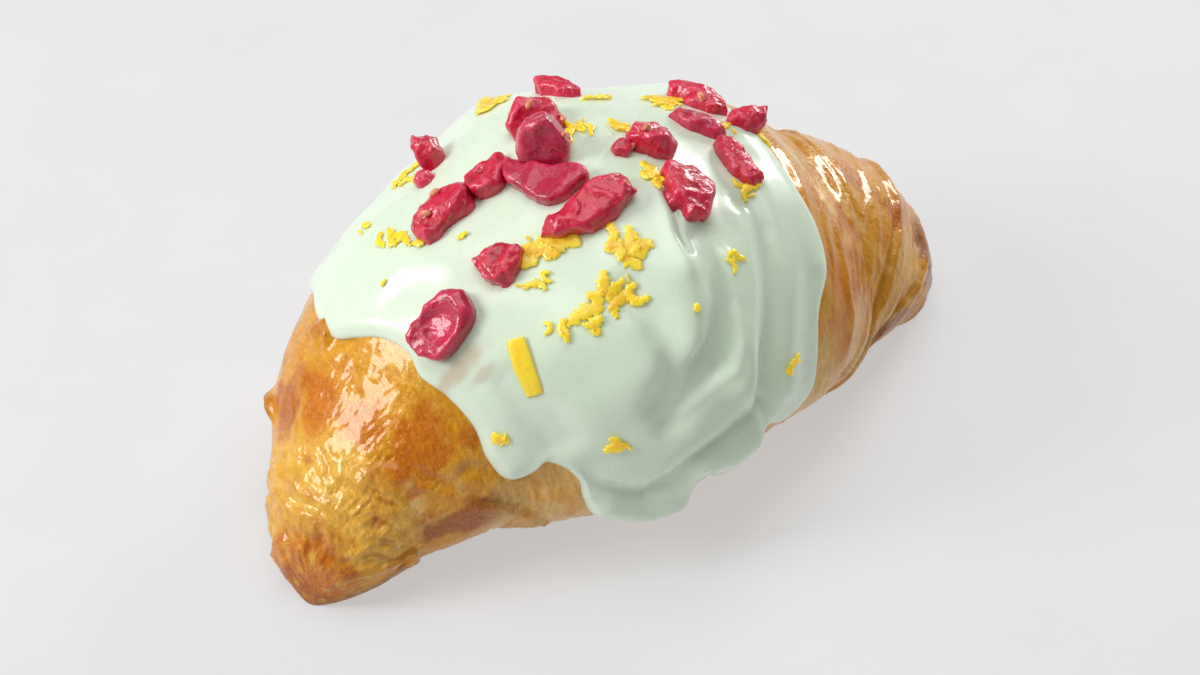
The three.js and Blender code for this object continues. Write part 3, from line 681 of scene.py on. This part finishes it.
def make_crust():
    along, degrees = crust_grid()
    angle = np.radians(degrees)
    plain = beside_crust(along, angle)
    along, plain_points = along.ravel(), plain.reshape(-1, 3)
    wrapped = np.where(degrees > 300, degrees - 360, degrees).ravel()
    flat = unrolled(along, wrapped, CRUST_DEGREE)
    height, kinds = crust_relief(plain_points, along, wrapped)
    # The relief fades out towards the flat underside and towards the very tips.
    near_tip = np.abs(along - (CRUST_LEFT + CRUST_RIGHT) / 2) / TIP_REACH
    clear = ease(np.clip(plain_points[:, 2], 0, None) / 4) * ease((1.045 - near_tip * 1.04) / 0.03)
    moved = plain_points + normals_of(plain).reshape(-1, 3) * (height * clear)[:, None]
    moved[:, 2] = np.clip(moved[:, 2], 0, None)
    colour, dull = crust_colours(plain_points, along, wrapped, flat, height, **kinds)
    tips = [moved[:CRUST_SIDES].mean(0), moved[-CRUST_SIDES:].mean(0)]
    points = np.concatenate([moved, tips]) + SHIFT
    piece = new_object("crust", points, closed_faces(CRUST_RINGS, CRUST_SIDES))
    paint_vertices(piece.data, "crust", np.concatenate([colour, colour[[0, -1]]]))
    set_vertex_values(piece.data, "matte", np.concatenate([dull, dull[[0, -1]]]))
    finish_piece(piece, baked_crust(), "dough", "croissant")


# ---- The icing ----

# Narrow creases and ridges left by the pour: height, width and path.
POUR_MARKS = (
    (-1.3, 0.9, ((0.04, 109), (0.026, 115), (0.008, 119), (-0.001, 124))),
    (0.7, 2.2, ((0.02, 108), (0.0, 115), (-0.02, 120), (-0.03, 127))),
    (0.55, 1.2, ((0.1, 128), (0.061, 140), (0.015, 150), (-0.024, 156), (-0.109, 159), (-0.17, 162))),
    (-0.8, 1.1, ((-0.44, 173), (-0.416, 180), (-0.345, 187), (-0.285, 191), (-0.244, 187), (-0.17, 180),
                 (-0.09, 177), (-0.01, 174), (0.05, 173))),
    (0.6, 3.0, ((-0.59, 128), (-0.6, 143), (-0.61, 158))),
    (0.4, 2.5, ((0.4, 90), (0.41, 115), (0.38, 140))),
    (-0.5, 2.5, ((-0.44, 60), (-0.5, 45), (-0.52, 25))),
    (0.6, 4.0, ((-0.3, 30), (-0.33, 10), (-0.36, 2))),
    (0.6, 4.0, ((0.28, 30), (0.27, 12), (0.27, -2))),
    (-0.6, 3.5, ((0.1, 50), (0.1, 30), (0.1, 16))),
    (-0.6, 3.5, ((-0.2, 45), (-0.22, 28), (-0.24, 16))),
    (0.7, 4.5, ((-0.05, 40), (-0.06, 15), (-0.07, -5))),
)
FOLD_STRENGTH = 1.35  # the folds' height over that of the solid's
ICING_SPOKES, ICING_RINGS = 520, 96
SMOOTHING_ROUNDS = 400  # enough to even out the grid where spokes crowd together
RIM_ROWS, RIM_LOWEST = 15, 0.28  # the rim's lowest share of full thickness
TUCKED_ROWS = ((0.12, 0.14), (0.45, 0.0), (1.0, -0.2))  # how far in, in mm, and the share of full thickness
UNDER_SHARES = (0.9, 0.75, 0.6, 0.45, 0.3, 0.15, 0)
RIM_SUNK, UNDER_SUNK = 0.4, 0.8  # how far in the crust the rim and the underside lie, in mm
# Where it is thin enough to show what is beneath: share, place and half size in millimetres.
THIN_SPOTS = ((0.5, (-0.62, 114), (6.5, 2.6)), (0.35, (-0.585, 121), (2.6, 1.6)))


def closed_spline(points, count):
    """A closed centripetal Catmull-Rom curve through points, as evenly spaced places."""
    points = np.asarray(points, float)
    dense = []
    for i in range(len(points)):
        p0, p1, p2, p3 = (points[(i + k) % len(points)] for k in (-1, 0, 1, 2))
        steps = [max(math.dist(a, b), 1e-4) ** 0.5 for a, b in ((p0, p1), (p1, p2), (p2, p3))]
        start = ((p1 - p0) / steps[0] - (p2 - p0) / (steps[0] + steps[1]) + (p2 - p1) / steps[1]) * steps[1]
        end = ((p2 - p1) / steps[1] - (p3 - p1) / (steps[1] + steps[2]) + (p3 - p2) / steps[2]) * steps[1]
        for t in np.linspace(0, 1, 60, endpoint=False):
            a, b = 2 * t**3 - 3 * t**2 + 1, -2 * t**3 + 3 * t**2
            dense.append(a * p1 + b * p2 + (t**3 - 2 * t**2 + t) * start + (t**3 - t**2) * end)
    dense = np.array([*dense, dense[0]])
    reached = np.concatenate([[0], np.cumsum(np.hypot(*np.diff(dense, axis=0).T))])
    wanted = np.linspace(0, reached[-1], count + 1)[:-1]
    return np.column_stack([np.interp(wanted, reached, dense[:, k]) for k in (0, 1)])


def rolled(flat):
    """The place along the crust and the angle round it of flat places on the icing."""
    return flat[:, 0] / HALF_SPAN, np.radians(flat[:, 1] / MM_PER_DEGREE)


def icing_distance(flat, rounding):
    """The icing's distance from the spine at flat places, where rounding is its share of full thickness."""
    along, angle = rolled(flat)
    thickness = np.full(len(flat), ICING_THICKNESS)
    for height, width, path in ICING_FOLDS + POUR_MARKS:
        distance, _ = path_distance(flat, path, MM_PER_DEGREE)
        thickness += FOLD_STRENGTH * height * np.exp(-((distance / width) ** 2))
    filled = crust_radius(along, angle, ICING_BLEND) + thickness * rounding
    least = crust_radius(along, angle) + ICING_LEAST * rounding
    return (filled + least + np.hypot(filled - least, 0.7 * rounding)) / 2


def make_icing():
    spokes, rings = ICING_SPOKES, ICING_RINGS
    middle = np.array(ICING_MIDDLE) * (HALF_SPAN, MM_PER_DEGREE)
    ends = closed_spline(np.array(ICING_OUTLINE) * (HALF_SPAN, MM_PER_DEGREE), spokes)
    away = ends - middle
    turn = np.arctan2(away[:, 1] / ICING_REACH[1], away[:, 0] / ICING_REACH[0])
    inner = middle + np.column_stack([INNER_REACH[0] * np.cos(turn), INNER_REACH[1] * np.sin(turn)])
    reach = np.hypot(*(ends - inner).T)

    def spread(share):
        return inner + (ends - inner) * np.asarray(share)[:, None]

    rows, heights = [mix(middle, inner, 0.33), mix(middle, inner, 0.66)], [1.0, 1.0]
    face = np.stack([spread((1 - ICING_EDGE / reach) * ring / rings) for ring in range(rings + 1)])
    for _ in range(SMOOTHING_ROUNDS):
        beside = (np.roll(face, 1, 1) + np.roll(face, -1, 1) + face) / 3
        face[1:-1] = (beside[1:-1] + (face[:-2] + face[2:]) / 2) / 2
    rows += list(face[:-1])
    heights += [1.0] * rings
    # The rim: a quarter round out to its widest place, then tucked in under it.
    for tilt in np.radians(np.linspace(90, 0, RIM_ROWS)):
        rows.append(spread(1 - ICING_EDGE * (1 - math.cos(tilt)) / reach))
        heights.append(RIM_LOWEST + (1 - RIM_LOWEST) * math.sin(tilt))
    for tuck, height in TUCKED_ROWS:
        rows.append(spread(1 - tuck / reach))
        heights.append(height)
    flat = np.concatenate(rows)
    rounding = np.repeat(heights, spokes)
    along, angle = rolled(flat)
    on_top = rounding > 0
    distance = np.where(
        on_top, icing_distance(flat, np.clip(rounding, 0, 1)), crust_radius(along, angle) - RIM_SUNK
    )
    outer = point_at(along, angle, distance)
    grid = outer.reshape(len(rows), spokes, 3)
    sway = 0.26 * rough_noise(outer, 16, 2, 71) + 0.03 * noise(outer, 6, 73)
    normals = -normals_of(grid).reshape(-1, 3)
    outer = outer + normals * (sway * np.clip(rounding, 0, 1) ** 2)[:, None]
    # The underside follows the crust back to the middle.
    under = np.concatenate([spread(np.full(spokes, share)) for share in UNDER_SHARES])
    along, angle = rolled(under)
    bottom = beside_crust(along, angle, -UNDER_SUNK)
    along, angle = rolled(middle[None])
    top = point_at(along, angle, icing_distance(middle[None], np.ones(1)))
    base = beside_crust(along, angle, -UNDER_SUNK)
    points = np.concatenate([outer, bottom, top, base]) + SHIFT
    faces = closed_faces(len(rows) + len(UNDER_SHARES), spokes, reverse=True)
    piece = new_object("icing", points, faces)
    thin = np.zeros(len(points))
    for share, at, size in THIN_SPOTS:
        gap = (flat - np.array(at) * (HALF_SPAN, MM_PER_DEGREE)) / size
        ragged = np.hypot(*gap.T) + 0.35 * noise(outer, 3, 75)
        thin[: len(flat)] = np.maximum(thin[: len(flat)], share * ease((1.4 - ragged) / 1.1))
    set_vertex_values(piece.data, "thin", thin)
    finish_piece(piece, poured_icing(), "glaze", "glaze")
    return piece


# ---- The toppings ----

CRIMSON = srgb(212, 8, 54)
ROSE = srgb(230, 58, 100)
WINE = srgb(124, 2, 28)
PLUM = srgb(156, 26, 68)
SEED = srgb(236, 150, 104)
OVERSIZE = 1.1  # a raspberry piece's size over its solid's, since its corners are rounder
LOWERED = 1.0  # how much lower it sits than its solid, in mm, and less where it is small
SINK = 1.0  # how much further the side next to the icing is pressed in, in mm
SINK_REACH, SINK_FADE = 1.6, 0.8
FRUIT_VOXEL, FRUIT_ROUNDING = 0.27, 4
FACETS, FACET_KEPT = 12, 0.88
SEED_LENGTH, SEED_THICKNESS = 2.3, 1.3
SEEDED = {"raspberry_03": 2, "raspberry_06": 1, "raspberry_07": 2, "raspberry_12": 2, "raspberry_15": 1}
DISHED = ("raspberry_11",)
DISH_DEPTH = 0.9
SMOOTH_SKINNED = ("raspberry_05", "raspberry_06", "raspberry_11", "raspberry_16")
RIBBONS = ("zest_13",)  # cut straight, not grated
STRAND_STEP, STRAND_SIDES = 0.3, 10
STRAND_CLEAR = 0.15  # from the icing to the middle of a strand, in mm


def even_mesh(piece):
    """The piece's form as an even, fine and rounded mesh."""
    remesh = piece.modifiers.new("even", "REMESH")
    remesh.mode = "VOXEL"
    remesh.voxel_size = FRUIT_VOXEL * MM
    smooth = piece.modifiers.new("round", "SMOOTH")
    smooth.factor = 0.5
    smooth.iterations = FRUIT_ROUNDING
    mesh = bpy.data.meshes.new_from_object(piece.evaluated_get(bpy.context.evaluated_depsgraph_get()))
    mesh.shade_smooth()
    return mesh


def icing_below(point, icing_tree):
    """The nearest place on the icing, and which way is out there."""
    place, normal, _, _ = icing_tree.find_nearest(Vector(point * MM))
    return np.array(place) / MM, np.array(normal)


def press_in(points, icing_tree):
    """Moves the points that are next to the icing into it."""
    pressed = points.copy()
    for i, point in enumerate(points):
        place, normal, _, distance = icing_tree.find_nearest(Vector(point * MM), SINK_REACH * MM)
        if place is not None:
            share = float(ease((SINK_REACH - distance / MM) / SINK_FADE))
            pressed[i] -= np.array(normal) * SINK * share
    return pressed


def cut_facets(points, rng):
    """Presses flats into a piece, as if it had dried against its neighbours."""
    middle = points.mean(0)
    away = points - middle
    for _ in range(FACETS):
        facing = unit(rng.normal(size=3))
        height = away @ facing
        limit = height.max() * FACET_KEPT
        away = away - facing * (np.clip(height - limit, 0, None) * 0.92)[:, None]
    return middle + away


def hollow_at(points, normals, rng, count, reach, depth):
    """Dents with soft rims, at random places on a piece."""
    height = np.zeros(len(points))
    for _ in range(count):
        centre = points[rng.integers(len(points))]
        distance = np.linalg.norm(points - centre, axis=1) / (reach * rng.uniform(0.7, 1.2))
        height += depth * (0.45 * np.exp(-(((distance - 1.25) / 0.4) ** 2)) - np.exp(-(distance**2)))
    return points + normals * height[:, None]


def curvature(mesh, points, normals):
    """How much each point stands out from its neighbours, over 0 on ridges."""
    ends = np.empty(len(mesh.edges) * 2, dtype=np.int64)
    mesh.edges.foreach_get("vertices", ends)
    ends = ends.reshape(-1, 2)

    def neighbour_sum(values):
        total = np.zeros_like(values)
        for here, there in (ends.T, ends[:, ::-1].T):
            np.add.at(total, here, values[there])
        return total

    count = neighbour_sum(np.ones(len(points)))
    bend = ((points - neighbour_sum(points) / np.maximum(count, 1)[:, None]) * normals).sum(1)
    for _ in range(3):
        bend = (bend + neighbour_sum(bend)) / (1 + count)
    return bend


def tube(path, radii, sides):
    """The points and faces of a closed tube along a path."""
    ahead = unit(np.gradient(path, axis=0))
    across = unit(np.cross(ahead, (0.31, 0.52, 0.79)))
    upward = np.cross(ahead, across)
    turn = np.arange(sides) * 2 * np.pi / sides
    rings = [
        p + r * (np.cos(turn)[:, None] * a + np.sin(turn)[:, None] * u)
        for p, r, a, u in zip(path, radii, across, upward)
    ]
    return np.concatenate([*rings, path[:1], path[-1:]]), closed_faces(len(path), sides)


def seed_shape(centre, normal, heading):
    """A seed as a tapered tube that lies along a surface."""
    ahead = unit(np.cross(normal, heading))
    steps = np.linspace(-1, 1, 9)
    path = centre + ahead * (steps * SEED_LENGTH / 2)[:, None] + normal * (0.2 * SEED_THICKNESS)
    return tube(path, SEED_THICKNESS / 2 * np.sqrt(np.clip(1.02 - steps**2, 0.02, 1)), 10)


def joined(name, parts):
    """One mesh object from (points, faces, values) parts, with the values of all its points."""
    points, faces, values, start = [], [], [], 0
    for part_points, part_faces, part_values in parts:
        points.append(part_points)
        faces += [tuple(index + start for index in face) for face in part_faces]
        values.append(part_values)
        start += len(part_points)
    return new_object(name, np.concatenate(points), faces), np.concatenate(values)


def faces_of(mesh):
    return [tuple(face.vertices) for face in mesh.polygons]


def topmost(points, normals, rng):
    """A random point of a piece's upper side."""
    facing = np.flatnonzero((normals[:, 2] > 0.45) & (points[:, 2] > np.median(points[:, 2])))
    return rng.choice(facing) if len(facing) else int(points[:, 2].argmax())


def dished(points, outward, size):
    """The share of the hollow, from 0 to 1, at points of a piece that is hollow on top."""
    away = points - (points.min(0) + points.max(0)) / 2
    height = away @ outward
    aside = np.linalg.norm(away - outward * height[:, None], axis=1)
    return ease((0.44 - aside / size) / 0.22) * ease((height + 0.6) / 0.8)


def make_raspberry(node, seed, icing_tree, material):
    """The node's own form, evened out, dried, sunk in the icing and given its seeds."""
    rng = np.random.default_rng(seed)
    draft = bpy.data.objects.new(node + "_draft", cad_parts[node].data.copy())
    add_to_scene(draft)
    mesh = even_mesh(draft)
    points = points_of(mesh)
    size = np.sort(np.ptp(points, axis=0))[1]
    smooth = node in SMOOTH_SKINNED
    low, high = box_of(node)
    if not smooth:
        points = cut_facets(points, rng)
        set_points(mesh, points)
        points = hollow_at(points, mesh_normals(mesh), rng, 2, size * 0.28, size * 0.05)
    stretch = (high - low) / np.ptp(points, axis=0) * OVERSIZE
    points = (low + high) / 2 + (points - (points.min(0) + points.max(0)) / 2) * stretch
    _, outward = icing_below((low + high) / 2, icing_tree)
    if node in DISHED:
        dish = dished(points, outward, size)
        points = points - outward * (DISH_DEPTH * dish)[:, None]
    else:
        dish = np.zeros(len(points))
        points = points - outward * LOWERED * min(size / 8, 1)
    set_points(mesh, points)
    normals = mesh_normals(mesh)
    wrinkles = 0.45 * (ridges(points, size * 0.55, seed + 1) - 0.5) * min(size / 9, 1)
    pebbles = (0.06 if smooth else 0.16) * (ridges(points, 2.1, seed + 2) - 0.5)
    sugar = (0.03 if smooth else 0.08) * noise(points, 0.8, seed + 3)
    points = points + normals * (wrinkles + pebbles + sugar)[:, None]
    set_points(mesh, points)
    normals = mesh_normals(mesh)
    bend = curvature(mesh, points, normals)
    bend /= np.std(bend) + 1e-6
    tone = np.repeat((mix(CRIMSON, PLUM, 0.5) if smooth else CRIMSON)[None], len(points), 0)
    # Darker wine in the hollows is painted shade, and lighter rose on the ridges is painted highlight.
    tone = tinted(tone, WINE, 0.6 * ease(-bend / 1.8 - 0.15))
    tone = tinted(tone, ROSE, 0.6 * ease(bend / 1.8 - 0.15))
    patches = rough_noise(points, 4.5, 2, seed + 4)
    tone = tinted(tone, ROSE, 0.35 * ease(patches * 1.6 - 0.1))
    tone = tinted(tone, WINE, 0.4 * ease(-patches * 1.6 - 0.1))
    tone = tinted(tone, ROSE, 0.6 * dish)
    parts = [(press_in(points, icing_tree), faces_of(mesh), tone)]
    for _ in range(SEEDED.get(node, 0)):
        at = topmost(points, normals, rng)
        shape = seed_shape(points[at], normals[at], rng.normal(size=3))
        parts.append((*shape, np.repeat(SEED[None], len(shape[0]), 0)))
    bpy.data.objects.remove(draft)
    piece, tones = joined(node + "_skin", parts)
    paint_vertices(piece.data, "skin", tones)
    finish_piece(piece, material, "raspberry", node)


def main_axes(points):
    """A piece's middle, and its longest and next longest directions with half their reaches."""
    middle = points.mean(0)
    _, _, directions = np.linalg.svd(points - middle, full_matrices=False)
    return middle, directions[:2], np.ptp((points - middle) @ directions[:2].T, axis=0) / 2


def shred(start, heading, length, width, icing_tree, rng, waver=1.0):
    """A flat strand that lies on the icing, with how close each point is to its edges, from 0 to 1.

    A waver of 1 makes it wander and tears its sides, and 0 leaves it straight.
    """
    steps = max(int(length / STRAND_STEP), 6)
    path, outward = [], []
    here, bend = np.array(start), 0.0
    for _ in range(steps):
        ground, normal = icing_below(here, icing_tree)
        path.append(ground + normal * STRAND_CLEAR)
        outward.append(normal)
        heading = unit(heading - normal * (heading @ normal))
        bend = 0.8 * bend + rng.normal() * 0.13 * waver
        heading = heading + np.cross(normal, heading) * bend
        here = path[-1] + heading * length / steps
    path, outward = np.array(path), np.array(outward)
    lift = np.interp(np.arange(steps), np.linspace(0, steps - 1, 4), rng.uniform(0, 0.45, 4))
    path += outward * lift[:, None]
    across = np.cross(outward, unit(np.gradient(path, axis=0)))
    taper = np.sin(np.linspace(0.45, 2.75, steps)) ** (1.0 if waver else 0.25)
    sides = [width / 2 * taper * (1 + waver * rng.uniform(-0.45, 0.35, steps)) for _ in range(2)]
    thick = 0.16 + 0.12 * taper
    turns = np.arange(STRAND_SIDES) * 2 * np.pi / STRAND_SIDES
    lines = []
    for turn in turns:
        reach = sides[0] if math.cos(turn) > 0 else sides[1]
        sideways = across * (reach * math.cos(turn))[:, None]
        lines.append(path + sideways + outward * (thick * math.sin(turn))[:, None])
    points = np.concatenate([np.stack(lines, 1).reshape(-1, 3), path[:1], path[-1:]])
    edge = np.concatenate([np.tile(np.abs(np.cos(turns)), steps), [0.5, 0.5]])
    return points, closed_faces(steps, STRAND_SIDES), edge


def grated_strands(solid, axes, icing_tree, rng):
    """One main strand along a solid's place, others that lie across it, and short scraps."""
    middle, (long_way, wide_way), half = axes
    strands = []
    for i in range(int(np.clip(1 + half[0] * half[1] * 0.5, 1, 10))):
        main = i == 0
        sideways = 0.0 if main else rng.uniform(-0.7, 0.7) * half[1]
        heading = long_way * rng.choice((-1, 1)) + wide_way * rng.normal() * (0.1 if main else 0.6)
        length = 2 * half[0] * (0.95 if main else rng.uniform(0.45, 0.8))
        start = middle + wide_way * sideways - unit(heading) * length / 2
        slide = long_way * rng.uniform(-0.3, 0.3) * half[0]
        if not main:
            start = start + slide
        most = 4.5 if main else 2.8
        width = np.clip(half[1] * (1.7 if main else rng.uniform(0.8, 1.3)), 1.1, most)
        strands.append(shred(start, heading, length, width, icing_tree, rng))
    for _ in range(int(half[0] / 1.6)):
        nearby = mix(middle, solid[rng.integers(len(solid))], 0.8)
        strands.append(shred(nearby, rng.normal(size=3), rng.uniform(1.5, 3.2), 0.6, icing_tree, rng))
    return strands


def make_zest(node, seed, icing_tree, material):
    rng = np.random.default_rng(seed)
    solid = points_of(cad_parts[node].data)
    axes = main_axes(solid)
    if node in RIBBONS:
        middle, (long_way, _), half = axes
        start = middle - long_way * half[0]
        parts = [shred(start, long_way, 2 * half[0], 2.1 * half[1], icing_tree, rng, waver=0.0)]
    else:
        parts = grated_strands(solid, axes, icing_tree, rng)
    piece, edges = joined(node + "_shreds", parts)
    set_vertex_values(piece.data, "edge", 0.5 * edges)
    finish_piece(piece, material, "zest", node)


def make_toppings(icing):
    icing_tree = BVHTree.FromObject(icing, bpy.context.evaluated_depsgraph_get())
    fruit, peel = dried_raspberry(), grated_zest()
    nodes = sorted(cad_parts)
    for i, node in enumerate(n for n in nodes if n.startswith("raspberry")):
        make_raspberry(node, 100 + 10 * i, icing_tree, fruit)
    for i, node in enumerate(n for n in nodes if n.startswith("zest")):
        make_zest(node, 900 + i, icing_tree, peel)


# ---- Studio ----

CAMERA_TURN, CAMERA_LIFT = -34.55, 45.0  # degrees from the front and above the ground
CAMERA_AWAY = 505.8  # mm
CAMERA_AIM = np.array([-3.69, -3.26, 20.55])  # in the formula's frame
LENS, SENSOR = 78.6, 36.0  # mm
# Name, turn and lift in degrees, distance and size in metres, and power in watts.
LIGHTS = (
    ("overhead", 175, 80, 1.0, 0.8, 4.9),
    ("left_softbox", -112, 32, 0.8, 0.3, 4.0),
    ("right_back", 112, 18, 0.9, 0.26, 3.4),
)
LIT_PLACE = np.array([0, 0, 0.03])  # in metres
FLOOR_REACH = 1500  # mm


def aim(thing, position, target):
    thing.location = position
    thing.rotation_euler = (Vector(target) - Vector(position)).to_track_quat("-Z", "Y").to_euler()


def direction(turn, lift):
    turn, lift = math.radians(turn), math.radians(lift)
    return np.array([math.sin(turn) * math.cos(lift), -math.cos(turn) * math.cos(lift), math.sin(lift)])


def add_camera():
    camera = bpy.data.objects.new("camera", bpy.data.cameras.new("camera"))
    camera.data.lens = LENS
    camera.data.sensor_width = SENSOR
    target = (CAMERA_AIM + SHIFT) * MM
    aim(camera, target + direction(CAMERA_TURN, CAMERA_LIFT) * CAMERA_AWAY * MM, target)
    add_to_scene(camera)
    bpy.context.scene.camera = camera


def add_light(name, turn, lift, away, size, power):
    lamp = bpy.data.lights.new(name, "AREA")
    lamp.shape = "SQUARE"
    lamp.size = size
    lamp.energy = power
    light = bpy.data.objects.new(name, lamp)
    aim(light, LIT_PLACE + direction(turn, lift) * away, LIT_PLACE)
    add_to_scene(light)


def add_studio():
    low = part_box("croissant")[0].z
    corners = [(x * FLOOR_REACH, y * FLOOR_REACH, low / MM) for x, y in ((-1, -1), (1, -1), (1, 1), (-1, 1))]
    floor = new_object("floor", corners, [(0, 1, 2, 3)])
    floor.data.materials.append(studio_floor())
    for light in LIGHTS:
        add_light(*light)
    world = bpy.data.worlds.new("studio")
    world.use_nodes = True
    background = world.node_tree.nodes["Background"]
    background.inputs["Color"].default_value = (1.0, 0.99, 0.96, 1)
    background.inputs["Strength"].default_value = 0.25
    bpy.context.scene.world = world
    bpy.context.scene.view_settings.view_transform = "Standard"


make_crust()
make_toppings(make_icing())
add_studio()
add_camera()
